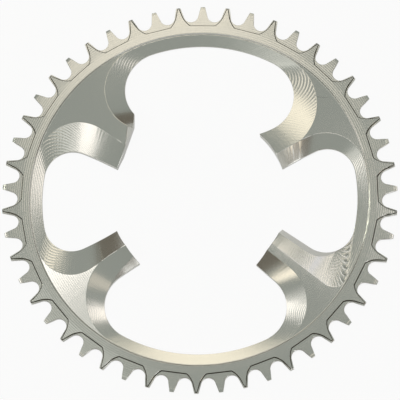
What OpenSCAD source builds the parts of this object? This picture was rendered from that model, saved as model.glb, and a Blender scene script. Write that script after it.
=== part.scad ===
// Narrow-wide bicycle chainring, machined in one piece from a thick aluminium plate.
// It lies on its flat back: z = 0 is the back face, +Z is the outer side of the bicycle.
// The origin is on the ring's own axis, and a narrow tooth points along +Y.
// All sizes are in millimetres and all angles in degrees.

/* [Chain and teeth] */
// Number of teeth, an even number, narrow and wide in turn
teeth = 50; // [44:2:54]
// Pitch of the chain, from one roller to the next
pitch = 12.7; // [12.6:0.05:12.8]
// Radius of the seat that a chain roller lies in
seat_r = 3.97; // [3.8:0.01:4.2]
// Angle of the flank above the seat, from the middle line of the gap
flank_lean = 18; // [14:1:21]
// Height of the tooth tips above the pitch circle
tip_rise = 4.3; // [3.8:0.1:4.6]

/* [Thickness] */
// Thickness of the rim and of the wide teeth
wide_t = 3.9; // [3.5:0.1:4.2]
// Thickness of the narrow teeth
narrow_t = 2.1; // [1.8:0.1:2.3]
// How much each face of the wide teeth leans in, from the land to the tip
wide_taper = 0.35; // [0:0.05:0.5]
// Thickness left at the inner edge of the rim
lip_t = 1.2; // [0.9:0.1:1.5]
// Height of the arms at the crank spider, above the back face
crown_h = 11.7; // [10.5:0.1:13]

/* [Radii below the teeth] */
// Depth of the flat land, from the pitch circle in to its inner step
land_depth = 10.2; // [9.8:0.1:10.8]
// Height of the step from the land down to the dished face
step_h = 1; // [0.6:0.1:1.2]
// Slant of that step, measured along the radius
step_run = 0.55; // [0.3:0.05:0.8]
// Width of the flat strip left between that step and the bevels of the windows
dish_strip = 0.4; // [0.2:0.05:0.8]
// Radial width of the bevel along the inside of the rim
rim_bevel = 6; // [5:0.1:7]
// Radius on which the four arms end, against the crank spider
arm_r = 47; // [46:0.1:48]

/* [Relief of the narrow teeth] */
// Distance of the straight bottom of each relief below the pitch circle
relief_depth = 6.4; // [6:0.1:6.8]
// Distance from that bottom in to the line where the wide teeth start to taper
taper_gap = 0.45; // [0.3:0.05:0.6]
// Radius of the cutter that shapes the sides of the relief
relief_r = 12.25; // [12:0.05:12.4]
// Distance of that cutter's centre above the pitch circle
relief_rise = 3.8; // [3.6:0.1:4]
// Angle of the relief's side above the cutter, from the middle line of the tooth
relief_lean = 23.6; // [22:0.1:25]
// Length of the sloped cap on a narrow tooth's tip
cap_len = 1.9; // [1.4:0.1:2.2]
// Depth of that cap at the very tip
cap_drop = 0.6; // [0.3:0.05:0.7]
// Size of the turned bevel round the tips of all the teeth
tip_bevel = 0.8; // [0.4:0.1:1]

/* [Bolts] */
// Diameter of the bolt circle
bolt_circle = 110; // [108:0.1:112]
// Angle of each bolt above or below the X axis
bolt_angle = 35; // [34:0.5:36]
// Core diameter of the threaded holes, for bolts that come in from the back
bolt_core_d = 7.3; // [6.8:0.05:7.6]
// Depth of the full bore of a threaded hole
bolt_depth = 6; // [5:0.1:6.5]
// Bevel at the mouth of a threaded hole
bolt_mouth = 0.6; // [0.3:0.1:1]

// The next four sections shape the two sides of each arm, walking out from the crank.
// An edge is the foot of the bevel, and a crest is its upper boundary on the dished face.
// Both have four numbers: the angle where the line starts on arm_r, its heading, the radius
// of the arm's side and the radius of the corner into the rim. 9000 is a straight side.

/* [Upper right arm] */
// Edge of the upper left side
ur_left_edge = [47.7, 21, 57, 21]; // [-180:0.1:9000]
// Crest of the upper left side
ur_left_crest = [29.7, 23.7, 9000, 29]; // [-180:0.1:9000]
// Height of that side's edge at the crank
ur_left_foot = 8; // [6:0.5:9]
// Edge of the lower right side
ur_low_edge = [21.2, 31.7, 240, 15]; // [-180:0.1:9000]
// Crest of the lower right side
ur_low_crest = [29.3, 37.3, 103, 20.5]; // [-180:0.1:9000]
// Height of that side's edge at the crank
ur_low_foot = 2; // [1.2:0.1:3]

/* [Lower right arm] */
// Edge of the upper right side
lr_up_edge = [-19.7, -33.3, 9000, 15]; // [-180:0.1:9000]
// Crest of the upper right side
lr_up_crest = [-33, -36.4, 9000, 8]; // [-180:0.1:9000]
// Height of that side's edge at the crank
lr_up_foot = 1.5; // [1.2:0.1:3]
// Steep strip along that edge: width, extra rise, and the shares of the arm where it starts and is full
lr_up_strip = [3.7, 4.4, 0, 0.35]; // [0:0.05:6]
// Edge of the lower left side
lr_left_edge = [-49.2, -40.7, 9000, 19]; // [-180:0.1:9000]
// Crest of the lower left side
lr_left_crest = [-38.4, -35.4, 440, 23.5]; // [-180:0.1:9000]
// Height of that side's edge at the crank
lr_left_foot = 3; // [2:0.1:4]

/* [Lower left arm] */
// Edge of the lower right side
ll_right_edge = [-131.7, -147, 250, 18.5]; // [-180:0.1:9000]
// Crest of the lower right side
ll_right_crest = [-144.8, -152, 9000, 26.5]; // [-180:0.1:9000]
// Height of that side's edge at the crank
ll_right_foot = 3; // [2:0.1:4]
// Steep strip along that edge: width, extra rise, and the shares of the arm where it starts and is full
ll_right_strip = [4.3, 1.6, 0.42, 1]; // [0:0.05:6]
// Edge of the upper left side
ll_up_edge = [-158.3, -148.5, 168, 15]; // [-180:0.1:9000]
// Crest of the upper left side
ll_up_crest = [-145.4, -146.3, 9000, 19]; // [-180:0.1:9000]
// Height of that side's edge at the crank
ll_up_foot = 3.5; // [2:0.1:5]

/* [Upper left arm] */
// Edge of the lower left side
ul_low_edge = [159.6, 153, 266, 15]; // [-180:0.1:9000]
// Crest of the lower left side
ul_low_crest = [145.1, 144.3, 9000, 21.5]; // [-180:0.1:9000]
// Height of that side's edge at the crank
ul_low_foot = 5; // [4:0.1:7]
// Edge of the upper right side
ul_right_edge = [123, 153.1, 64, 20.5]; // [-180:0.1:9000]
// Crest of the upper right side
ul_right_crest = [130.8, 161.4, 192, 24]; // [-180:0.1:9000]
// Height of that side's edge at the crank
ul_right_foot = 6; // [4:0.1:7]
// Distance from the axis of the plane that trims this arm's end
trim_dist = 46.2; // [45.6:0.1:46.6]
// Direction in which that plane faces
trim_angle = -18.4; // [-21:0.1:-16]
// Place on the X axis of the short flat beyond that plane
end_x = -35.6; // [-36.2:0.1:-35]
// Place on the X axis of the sloped facet at this end, at the height of the crown
facet_x = -39.6; // [-40.2:0.1:-39]
// Place on the Y axis where that facet stops
facet_y = 38.2; // [37:0.1:39]
// Slope of that facet, from the horizontal
facet_slope = 60; // [50:1:70]

/* [Hidden] */

no_strip = [0, 0, 0, 1];

// Each opening between two arms, walked clockwise: out along one arm, back along the next.
// A side is its edge, its crest, the height of its foot at the crank, and its strip.
TOP_BAY = [
    [ul_right_edge, ul_right_crest, ul_right_foot, no_strip],
    [ur_left_edge, ur_left_crest, ur_left_foot, no_strip]
];
RIGHT_BAY = [
    [ur_low_edge, ur_low_crest, ur_low_foot, no_strip],
    [lr_up_edge, lr_up_crest, lr_up_foot, lr_up_strip]
];
BOTTOM_BAY = [
    [lr_left_edge, lr_left_crest, lr_left_foot, no_strip],
    [ll_right_edge, ll_right_crest, ll_right_foot, ll_right_strip]
];
LEFT_BAY = [
    [ll_up_edge, ll_up_crest, ll_up_foot, no_strip],
    [ul_low_edge, ul_low_crest, ul_low_foot, no_strip]
];

step_angle = 360 / teeth;
pitch_r = pitch / (2 * sin(step_angle / 2));
tip_r = pitch_r + tip_rise;
land_r = pitch_r - land_depth;
dish_r = land_r - step_run;
taper_r = pitch_r - relief_depth - taper_gap;
bevel_r = dish_r - dish_strip;
rim_r = bevel_r - rim_bevel;
dish_h = wide_t - step_h;
relief_h = (wide_t - narrow_t) / 2;
bolt_r = bolt_circle / 2;

eps = 0.02;
over = 3;
arc_steps = 24;
side_steps = 32;
rim_steps = 28;
strip_min = 0.6;
crest_over = 0.3;
lid_h = crown_h + over;

// Height of the dished front face at a radius.
function dish_z(r) = crown_h - (r - arm_r) * (crown_h - dish_h) / (dish_r - arm_r);
// Share of the way from the rim in to the crank.
function reach(r) = max(0, (rim_r - r) / (rim_r - arm_r));
function edge_z(r, foot) = lip_t + (foot - lip_t) * reach(r);

function unit(v) = v / norm(v);
function clamped(x) = min(1, max(0, x));
function angle_of(v) = atan2(v[1], v[0]);
function wrap(a) = a - 360 * round(a / 360);
function polar(r, a) = r * [cos(a), sin(a)];
function arc(c, r, from, sweep, steps) =
    [for (i = [0 : steps]) c + polar(r, from + sweep * i / steps)];
function reversed(list) = [for (i = [len(list) - 1 : -1 : 0]) list[i]];
function without_first(list) = [for (i = [1 : len(list) - 1]) list[i]];

// One side of an arm: a short lead-in inside the crank's circle, the side itself,
// and the corner that runs tangent into the circle of radius out_r.
// turn is +1 where the corner bends to the left and -1 where it bends to the right.
function side_path(s, out_r, turn) = let (
    start = polar(arm_r, s[0]),
    ahead = polar(1, s[1]),
    side_c = start + s[2] * turn * [-ahead[1], ahead[0]],
    near = s[2] - s[3],
    far = out_r - s[3],
    dist = norm(side_c),
    along = (dist * dist + far * far - near * near) / (2 * dist),
    across = sqrt(far * far - along * along),
    u = unit(side_c),
    corner_c = along * u - turn * across * [-u[1], u[0]],
    joint = corner_c + s[3] * unit(corner_c - side_c),
    rim_point = out_r * unit(corner_c),
    a0 = angle_of(start - side_c),
    a1 = angle_of(joint - side_c),
    b0 = angle_of(joint - corner_c),
    b1 = angle_of(rim_point - corner_c)
) concat(
    [start - over * ahead],
    arc(side_c, s[2], a0, wrap(a1 - a0), arc_steps),
    without_first(arc(corner_c, s[3], b0, wrap(b1 - b0), arc_steps))
);

// Length of a path up to each of its points.
function lengths(path, i = 0, sum = 0) = i == len(path) - 1
    ? [sum]
    : concat([sum], lengths(path, i + 1, sum + norm(path[i + 1] - path[i])));

// The point of a path at a distance along it.
function at(path, marks, d, i = 0) = i >= len(path) - 2 || d <= marks[i + 1]
    ? path[i] + (path[i + 1] - path[i]) * (d - marks[i]) / (marks[i + 1] - marks[i])
    : at(path, marks, d, i + 1);

// A path again, as points the same distance apart.
function even(path, steps) = let (marks = lengths(path), whole = marks[len(marks) - 1])
    [for (i = [0 : steps]) at(path, marks, whole * i / steps)];

// The whole rail of a bay, from one crank end round the rim to the other.
function bay_rail(out_side, back_side, out_r) = let (
    out_path = side_path(out_side, out_r, -1),
    back_path = side_path(back_side, out_r, 1),
    a0 = angle_of(out_path[len(out_path) - 1]),
    a1 = angle_of(back_path[len(back_path) - 1]),
    rim = arc([0, 0], out_r, a0, wrap(a1 - a0), rim_steps)
) concat(
    even(out_path, side_steps),
    [for (i = [1 : rim_steps - 1]) rim[i]],
    reversed(even(back_path, side_steps))
);

// The bay's cutter at one station: up the wall of the window, then across the bevel.
function bevel_section(edge, crest, foot, strip) = let (
    share = min(1, reach(norm(edge))),
    flat = norm(crest - edge),
    u = unit(crest - edge),
    ze = edge_z(norm(edge), foot),
    zc = dish_z(norm(crest)),
    full = clamped((share - strip[2]) / (strip[3] - strip[2])),
    part = max(strip_min, strip[0] * full) / flat,
    zs = ze + (zc - ze) * part + strip[1] * full * sqrt(share),
    high = (zc - zs) / ((1 - part) * flat),
    mid = edge + part * flat * u,
    outer = crest + crest_over * u
) [
    [edge[0], edge[1], -over],
    [edge[0], edge[1], ze],
    [mid[0], mid[1], zs],
    [outer[0], outer[1], zc + crest_over * high],
    [outer[0], outer[1], lid_h]
];

// A closed solid through a ring of stations, each a row of points from bottom to top.
module ring_of(stations, middle) {
    n = len(stations);
    rows = len(stations[0]);
    low = stations[0][0][2];
    high = stations[0][rows - 1][2];
    points = concat(
        [for (s = stations) for (p = s) p],
        [[middle[0], middle[1], low], [middle[0], middle[1], high]]
    );
    sides = [
        for (i = [0 : n - 1])
        for (j = [0 : rows - 2])
        let (a = i * rows + j, b = ((i + 1) % n) * rows + j)
        for (f = [[a, b + 1, a + 1], [a, b, b + 1]])
        f
    ];
    caps = [
        for (i = [0 : n - 1])
        let (a = i * rows, b = ((i + 1) % n) * rows)
        for (f = [[a, n * rows, b], [a + rows - 1, b + rows - 1, n * rows + 1]])
        f
    ];
    polyhedron(points, concat(sides, caps), convexity = 8);
}

// The turned plate: back face, bevelled tips, tapered wide-tooth zone, land, step and dish.
module turned_plate() {
    rotate_extrude($fn = 360) polygon([
        [arm_r, 0],
        [taper_r, 0],
        [tip_r - tip_bevel, wide_taper],
        [tip_r, wide_taper + tip_bevel],
        [tip_r, wide_t - wide_taper - tip_bevel],
        [tip_r - tip_bevel, wide_t - wide_taper],
        [taper_r, wide_t],
        [land_r, wide_t],
        [dish_r, dish_h],
        [arm_r, crown_h]
    ]);
}

// A pocket as deep as h with a round bottom of radius r centred at radius at,
// and straight sides that lean out from it.
module round_pocket(at, r, lean, h) {
    reach_out = tip_r + over - at;
    x0 = (r - eps) * cos(lean);
    y0 = -(r - eps) * sin(lean);
    x1 = x0 + (reach_out - y0) * tan(lean);
    translate([0, at, 0]) {
        cylinder(r = r, h = h, $fn = 96);
        linear_extrude(h) polygon([[-x0, y0], [x0, y0], [x1, reach_out], [-x1, reach_out]]);
    }
}

// The gap between two teeth, where a roller sits.
module roller_gap() {
    translate([0, 0, -over]) round_pocket(pitch_r, seat_r, flank_lean, wide_t + 2 * over);
}

// The relief that makes one tooth narrow, cut upwards from z = 0.
module narrow_relief(h) {
    bottom = pitch_r - relief_depth;
    half = relief_r + over;
    intersection() {
        round_pocket(pitch_r + relief_rise, relief_r, relief_lean, h);
        translate([-half, bottom, -over]) cube([2 * half, tip_r + 2 * over - bottom, h + 2 * over]);
    }
}

// The sloped cap at a narrow tooth's tip, cut down into a face at z = 0.
module tip_cap() {
    slope = atan(cap_drop / cap_len);
    translate([-seat_r, tip_r - cap_len, 0]) rotate([-slope, 0, 0]) cube([2 * seat_r, 2 * over, over]);
}

module narrow_tooth_cuts() {
    translate([0, 0, wide_t - relief_h]) {
        narrow_relief(relief_h + over);
        tip_cap();
    }
    translate([0, 0, relief_h]) mirror([0, 0, 1]) {
        narrow_relief(relief_h + over);
        tip_cap();
    }
}

module all_teeth_cuts() {
    for (i = [0 : teeth - 1]) rotate((i + 0.5) * step_angle) roller_gap();
    for (i = [0 : teeth / 2 - 1]) rotate(2 * i * step_angle) narrow_tooth_cuts();
}

// One opening between two arms, with the bevel that runs round it.
module bay(sides) {
    edge = bay_rail(sides[0][0], sides[1][0], rim_r);
    crest = bay_rail(sides[0][1], sides[1][1], bevel_r);
    n = len(edge);
    stations = [
        for (i = [0 : n - 1])
        let (s = sides[i < n / 2 ? 0 : 1])
        bevel_section(edge[i], crest[i], s[2], s[3])
    ];
    ring_of(stations, (edge[floor(n / 2)] + (edge[0] + edge[n - 1]) / 2) / 2);
}

// The end of the upper left arm, trimmed to pass beside the crank.
module trimmed_end() {
    rotate(180 + trim_angle) translate([trim_dist - arm_r / 2, -arm_r, -over])
        cube([arm_r / 2, arm_r - over, lid_h + 2 * over]);
    translate([end_x, facet_y - over, -over]) cube([arm_r / 2, arm_r / 2, lid_h + 2 * over]);
    translate([facet_x, facet_y - arm_r / 2, crown_h]) rotate([0, facet_slope, 0])
        translate([-over, 0, 0]) cube([2 * crown_h, arm_r / 2, 2 * crown_h]);
}

// One blind threaded hole, drilled from the back face.
module bolt_hole() {
    translate([0, 0, -over]) cylinder(d = bolt_core_d, h = bolt_depth + over, $fn = 64);
    translate([0, 0, bolt_depth - eps]) cylinder(d1 = bolt_core_d, d2 = 0, h = bolt_core_d / 4, $fn = 64);
    translate([0, 0, -eps]) cylinder(
        d1 = bolt_core_d + 2 * (bolt_mouth + eps),
        d2 = bolt_core_d,
        h = bolt_mouth + eps,
        $fn = 64
    );
}

module toothed_plate() {
    difference() {
        turned_plate();
        all_teeth_cuts();
    }
}

module chainring() {
    color([0.77, 0.76, 0.73]) difference() {
        toothed_plate();
        bay(TOP_BAY);
        bay(RIGHT_BAY);
        bay(BOTTOM_BAY);
        bay(LEFT_BAY);
        trimmed_end();
        for (a = [bolt_angle, 180 - bolt_angle, 180 + bolt_angle, -bolt_angle])
            translate(bolt_r * [cos(a), sin(a), 0]) bolt_hole();
    }
}

chainring();
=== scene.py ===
import math

import bmesh
import bpy
from mathutils import Matrix, Vector


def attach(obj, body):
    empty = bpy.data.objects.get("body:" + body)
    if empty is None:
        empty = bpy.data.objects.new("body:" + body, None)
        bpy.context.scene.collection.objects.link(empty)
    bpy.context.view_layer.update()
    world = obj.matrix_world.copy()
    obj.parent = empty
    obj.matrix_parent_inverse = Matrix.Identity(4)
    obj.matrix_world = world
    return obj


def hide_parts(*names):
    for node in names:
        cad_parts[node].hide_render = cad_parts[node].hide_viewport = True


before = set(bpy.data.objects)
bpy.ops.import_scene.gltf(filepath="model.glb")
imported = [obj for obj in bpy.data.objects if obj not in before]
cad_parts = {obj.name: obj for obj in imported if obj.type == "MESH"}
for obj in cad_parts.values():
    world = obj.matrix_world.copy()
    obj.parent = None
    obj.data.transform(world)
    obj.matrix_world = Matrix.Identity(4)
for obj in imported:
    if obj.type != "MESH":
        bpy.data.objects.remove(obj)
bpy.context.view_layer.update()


# The chainring: one piece, turned and milled from a thick aluminium plate and left raw, with
# a toothed rim, a flat land, a dished face and four bevelled arms that rise to the crank.
# 210.9 mm over its 50 teeth and 11.7 mm high. The mesh is the CAD solid with its edges broken
# and its hollows rounded, and the cutters' marks are a bump. It replaces the node chainring.
class Socket:
    """A shader socket, for maths written as plain expressions."""

    def __init__(self, tree, link):
        self.tree, self.link = tree, link

    def maths(self, operation, *others):
        node = self.tree.nodes.new("ShaderNodeMath")
        node.operation = operation
        for slot, value in zip(node.inputs, (self, *others)):
            if isinstance(value, Socket):
                self.tree.links.new(value.link, slot)
            else:
                slot.default_value = value
        return Socket(self.tree, node.outputs[0])

    def __add__(self, other):
        return self.maths("ADD", other)

    def __mul__(self, other):
        return self.maths("MULTIPLY", other)

    def __sub__(self, other):
        return self.maths("SUBTRACT", other)

    def __truediv__(self, other):
        return self.maths("DIVIDE", other)

    def __rtruediv__(self, other):
        return (self ** -1.0) * other

    def __rsub__(self, other):
        return (self * -1.0) + other

    def __pow__(self, other):
        return self.maths("POWER", other)

    def __gt__(self, other):
        return self.maths("GREATER_THAN", other)

    __radd__, __rmul__ = __add__, __mul__

    def output(self, name):
        """Another output of the same node."""
        return Socket(self.tree, self.link.node.outputs[name])


class Finish:
    """A material, built one node at a time."""

    def __init__(self, name):
        self.material = bpy.data.materials.new(name)
        self.material.use_nodes = True
        self.tree = self.material.node_tree
        self.tree.nodes.clear()

    def node(self, kind, settings=None, output=0, **inputs):
        made = self.tree.nodes.new("ShaderNode" + kind)
        for key, value in (settings or {}).items():
            setattr(made, key, value)
        for key, value in inputs.items():
            name = key.replace("_", " ")
            slot = made.inputs[name if name in made.inputs else key]
            if isinstance(value, Socket):
                self.tree.links.new(value.link, slot)
            else:
                slot.default_value = value
        return Socket(self.tree, made.outputs[output]) if made.outputs else None


# The dished face is a cone, from the arms' ends down to the step beside the teeth.
ARM_RADIUS, CROWN = 0.047, 0.0117
DISH_RADIUS, DISH_RIM = 0.09038, 0.0029
ON_DISH = 3e-5


def dish_height(radius):
    share = (radius - ARM_RADIUS) / (DISH_RADIUS - ARM_RADIUS)
    return share * (DISH_RIM - CROWN) + CROWN


# The bevels were milled in level passes, each LEVEL lower than the last, by a ball cutter.
# The passes show most in the windows' outer corners, and elsewhere they are FAINT.
# The flat and dished faces were turned, with a fine FEED.
LEVEL, CUTTER = 0.00025, 0.004
CORNER_RADIUS, CORNER_FADE = 0.070, 0.008
CORNER_SIDE, SIDE_FADE = 0.050, 0.010
FAINT = 0.35
FEED, FEED_DEPTH = 0.0011, 1.5e-5
BEVEL_SLOPE = 0.06
FLATTEST, STEEPEST = 1e-4, 0.1

metal = Finish("machined_aluminium")
place = metal.node("TexCoord", output=3)
axes = metal.node("SeparateXYZ", Vector=place)
facing = metal.node("SeparateXYZ", Vector=place.output("Normal")).output("Z")
level = axes.output("Z")
radius = (axes.output("X") ** 2.0 + axes.output("Y") ** 2.0) ** 0.5


def ridges(distance, spacing):
    """Hollows side by side: 1 on the ridges between them and 0 at their bottoms."""
    return (2.0 * (distance / spacing).maths("FRACT") - 1.0) ** 2.0


def rising(value, start, length):
    """0 up to start, then evenly up to 1 over a length."""
    return metal.node("MapRange", Value=value, From_Min=start, From_Max=start + length)


run = facing.maths("MAXIMUM", STEEPEST)
slope = (1.0 - facing * facing).maths("MAXIMUM", FLATTEST) ** 0.5 / run
level_width = LEVEL / slope
corner = rising(radius, CORNER_RADIUS, CORNER_FADE)
corner = corner * rising(axes.output("X").maths("ABSOLUTE"), CORNER_SIDE, SIDE_FADE)
milled = ridges(level, LEVEL) * level_width * level_width / (8 * CUTTER)
milled = milled * (FAINT + (1 - FAINT) * corner)
turned = ridges(radius, FEED) * FEED_DEPTH
below_dish = (dish_height(radius) - level).maths("ABSOLUTE") > 2 * ON_DISH
on_bevel = below_dish * (slope > BEVEL_SLOPE)
height = turned + on_bevel * (milled - turned)
metal_shader = metal.node(
    "BsdfPrincipled",
    Base_Color=(0.77, 0.76, 0.73, 1.0),
    Metallic=1.0,
    Roughness=0.19,
    Normal=metal.node("Bump", Height=height, Distance=1.0),
)
metal.node("OutputMaterial", Surface=metal_shader)

# The narrow roots round the teeth's reliefs are painted dark: their dark material is painted
# shade that stands in for the shade in those hollows.
root = Finish("relief_root_painted_shade")
root_shade_shader = root.node(
    "BsdfPrincipled", Base_Color=(0.1, 0.093, 0.075, 1.0), Metallic=1.0, Roughness=0.5
)
root.node("OutputMaterial", Surface=root_shade_shader)


# The radius of each hollow and the width of each broken edge, with the fold in degrees from
# which an edge counts as one. Folds under the smooth ones are shaded round.
ROOT_FILLET, ROOT_FOLD = 0.00045, -80
STEP_FILLET, STEP_FOLD = 0.0003, -50
CREST_BREAK, CREST_FOLD = 0.00022, 8
EDGE_BREAK, EDGE_FOLD, WALL_FOLD = 0.0001, 50, 20
SMOOTH_FOLD, CORNER_SMOOTH_FOLD = 12, 34
CRANK_GAP = 0.003
WELD, SHORTEST, CREST_WELD = 2e-6, 5e-5, 4e-4
FLAT_FOLD, LEVEL_FACE, UPRIGHT_FACE = 0.2, 0.9999, 0.001
DISH_STEP = 3
# Slot 1 holds the dark material that paints shade into the reliefs' roots; -1 keeps a face's
# own material.
PAINTED_SHADE_SLOT, SAME = 1, -1


def on_dish(face):
    return all(abs(v.co.z - dish_height(v.co.xy.length)) < ON_DISH for v in face.verts)


def fold(edge):
    """The angle over an edge in degrees, negative in a hollow."""
    return math.degrees(edge.calc_face_angle_signed(0))


def at_crank(edge):
    return min(v.co.xy.length for v in edge.verts) < ARM_RADIUS + CRANK_GAP


def beyond(edge, radius):
    return edge.verts[0].co.xy.length > radius


def tops_wall(edge):
    """Whether the edge runs between an upright wall and another face."""
    return sum(abs(face.normal.z) < 10 * UPRIGHT_FACE for face in edge.link_faces) == 1


def crest(edge):
    return sum(on_dish(face) for face in edge.link_faces) == 1


ring_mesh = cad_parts["chainring"].data.copy()
ring_mesh.attributes.remove(ring_mesh.attributes["custom_normal"])
ring_mesh.materials.clear()
ring_mesh.materials.append(metal.material)
ring_mesh.materials.append(root.material)
work = bmesh.new()
work.from_mesh(ring_mesh)
bmesh.ops.remove_doubles(work, verts=work.verts, dist=WELD)
bmesh.ops.dissolve_limit(
    work, angle_limit=math.radians(FLAT_FOLD), verts=work.verts, edges=work.edges
)
slanted = [
    face for face in work.faces if UPRIGHT_FACE < abs(face.normal.z) < LEVEL_FACE
]
bmesh.ops.connect_verts_concave(work, faces=slanted)
bmesh.ops.dissolve_degenerate(work, dist=SHORTEST, edges=work.edges)
along_crests = [v for v in work.verts if any(crest(e) for e in v.link_edges)]
bmesh.ops.remove_doubles(work, verts=along_crests, dist=CREST_WELD)

dish = [face for face in work.faces if on_dish(face)]
round_dish = (part for face in dish for part in (*face.edges, *face.verts))
pieces = dish + list(dict.fromkeys(round_dish))
for degrees in range(0, 180, DISH_STEP):
    turn = math.radians(degrees)
    cut = bmesh.ops.bisect_plane(
        work, geom=pieces, dist=SHORTEST, plane_no=(math.cos(turn), math.sin(turn), 0)
    )
    pieces = cut["geom"]
for vert in pieces:
    if isinstance(vert, bmesh.types.BMVert):
        vert.co.z = dish_height(vert.co.xy.length)

# The reliefs' roots are rounded first, and their new faces get the painted-shade material.
for wanted, width, segments, finish in (
    (lambda e: fold(e) < ROOT_FOLD and beyond(e, DISH_RADIUS), ROOT_FILLET, 3, PAINTED_SHADE_SLOT),
    (lambda e: fold(e) < STEP_FOLD, STEP_FILLET, 3, SAME),
    (lambda e: fold(e) > CREST_FOLD and crest(e) and not at_crank(e), CREST_BREAK, 2, SAME),
    (lambda e: fold(e) > (WALL_FOLD if tops_wall(e) else EDGE_FOLD), EDGE_BREAK, 1, SAME),
):
    bmesh.ops.bevel(
        work,
        geom=[edge for edge in work.edges if edge.is_manifold and wanted(edge)],
        offset=width,
        offset_type="OFFSET",
        segments=segments,
        profile=0.5,
        affect="EDGES",
        loop_slide=True,
        material=finish,
    )
for face in work.faces:
    face.smooth = True
for edge in work.edges:
    # Edges between faces with the painted shade of the roots are shaded round.
    in_painted_shade = all(face.material_index == PAINTED_SHADE_SLOT for face in edge.link_faces)
    limit = CORNER_SMOOTH_FOLD if beyond(edge, CORNER_RADIUS) else SMOOTH_FOLD
    edge.smooth = in_painted_shade or (not crest(edge) and abs(fold(edge)) < limit)
work.to_mesh(ring_mesh)
work.free()
chainring = bpy.data.objects.new("machined_ring", ring_mesh)
bpy.context.scene.collection.objects.link(chainring)
evening = chainring.modifiers.new("even_normals", "WEIGHTED_NORMAL")
evening.keep_sharp = True
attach(chainring, "root")
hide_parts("chainring")


# The white surface that the ring lies on, a hair below it so that the two don't coincide.
# The camera sees it as white, with the ring's shadow. The metal shows it more weakly.
FLOOR_SIZE, FLOOR_GAP = 3.0, 0.0001
WHITE_SEEN, WHITE_MIRRORED = 0.93, 0.3
floor_mesh = bpy.data.meshes.new("floor")
work = bmesh.new()
bmesh.ops.create_grid(work, x_segments=1, y_segments=1, size=FLOOR_SIZE)
work.to_mesh(floor_mesh)
work.free()
floor = bpy.data.objects.new("floor", floor_mesh)
bpy.context.scene.collection.objects.link(floor)
paper = Finish("white_paper")
ray = paper.node("LightPath")
mirrored = ray.output("Is Glossy Ray") + ray.output("Is Transmission Ray")
seen = WHITE_SEEN * ray.output("Is Camera Ray") + WHITE_MIRRORED * mirrored
lit = paper.node("BsdfDiffuse", Color=(0.86, 0.86, 0.86, 1.0))
glow = paper.node("Emission", Color=(1.0, 1.0, 1.0, 1.0), Strength=1.0)
mixed = paper.node("MixShader", Fac=seen, Shader=lit, Shader_001=glow)
paper.node("OutputMaterial", Surface=mixed)
floor_mesh.materials.append(paper.material)
floor.location.z = -FLOOR_GAP


# Soft studio light: a dim room, a pale ceiling, and square panels hung in a dome over the
# ring, 0.6 m away. The brightest ones give the highlights on the bevels.
def softbox(name, towards, radiance, side=0.15, distance=0.6):
    light = bpy.data.lights.new(name, "AREA")
    light.size = side
    light.energy = max(radiance) * math.pi * side * side
    light.color = [share / max(radiance) for share in radiance]
    lamp = bpy.data.objects.new(name, light)
    bpy.context.scene.collection.objects.link(lamp)
    direction = Vector(towards).normalized()
    lamp.location = direction * distance
    lamp.rotation_euler = (-direction).to_track_quat("-Z", "Y").to_euler()
    return lamp


softbox("ceiling", (0, 0, 1), (0.17, 0.21, 0.21), 5.0, 1.3)
softbox("left_panel", (-0.57, 0.02, 0.82), (1.4, 1.32, 1.26), 0.175)
softbox("top_panel", (-0.09, 0.34, 0.93), (0.76, 0.68, 0.57))
softbox("right_panel", (0.38, 0.14, 0.91), (1.24, 1.13, 1.05))
softbox("rear_panel", (-0.07, 0.62, 0.78), (0.98, 0.87, 0.68), 0.19)
softbox("near_left_panel", (-0.42, -0.24, 0.87), (0.4, 0.38, 0.37))
softbox("right_low_panel", (0.63, 0.33, 0.7), (0.78, 0.7, 0.61))
softbox("front_panel", (-0.43, -0.69, 0.58), (1.1, 0.97, 0.78))
softbox("front_strip", (0.58, -0.81, 0.13), (2.0, 2.05, 2.05))
softbox("left_strip", (-0.88, 0.31, 0.35), (6.4, 6.7, 5.6))
softbox("right_side_panel", (0.62, 0.08, 0.78), (0.53, 0.51, 0.59))
softbox("low_right_strip", (0.83, -0.56, 0.05), (1.25, 1.12, 0.92))
softbox("front_right_panel", (0.41, -0.41, 0.81), (0.39, 0.33, 0.27))
softbox("middle_panel", (-0.29, -0.05, 0.95), (0.43, 0.43, 0.4))

world = bpy.data.worlds.new("studio")
bpy.context.scene.world = world
world.use_nodes = True
room = world.node_tree.nodes["Background"]
room.inputs["Color"].default_value = (0.17, 0.155, 0.125, 1)
room.inputs["Strength"].default_value = 1.0


# The camera stands almost straight above, far off, and leans a little to the lower right.
LEAN = math.radians(13.3)
LEAN_AXIS = math.radians(15.5)
ROLL = math.radians(14.9)
PICTURE, PIXELS_PER_METRE = 400, 1879.4
AIM_HEIGHT = 0.00195
PIXELS_RIGHT, PIXELS_DOWN = 0.284, 0.09
DISTANCE, FAR_END = 8.0, 30
SENSOR = 36

along = Vector((math.cos(LEAN_AXIS), math.sin(LEAN_AXIS), 0))
uphill = Vector((-along.y * math.cos(LEAN), along.x * math.cos(LEAN), math.sin(LEAN)))
right = math.cos(ROLL) * along - math.sin(ROLL) * uphill
up = math.sin(ROLL) * along + math.cos(ROLL) * uphill
towards = right.cross(up)
aside = (PIXELS_RIGHT * right - PIXELS_DOWN * up) / PIXELS_PER_METRE
target = Vector((0, 0, AIM_HEIGHT)) + aside
lens = bpy.data.cameras.new("camera")
lens.sensor_width = SENSOR
lens.lens = SENSOR * DISTANCE / (PICTURE / PIXELS_PER_METRE)
lens.clip_end = FAR_END
camera = bpy.data.objects.new("camera", lens)
bpy.context.scene.collection.objects.link(camera)
camera.matrix_world = Matrix.Translation(target + DISTANCE * towards) @ Matrix(
    (right, up, towards)
).transposed().to_4x4()
bpy.context.scene.camera = camera
bpy.context.scene.view_settings.view_transform = "Standard"
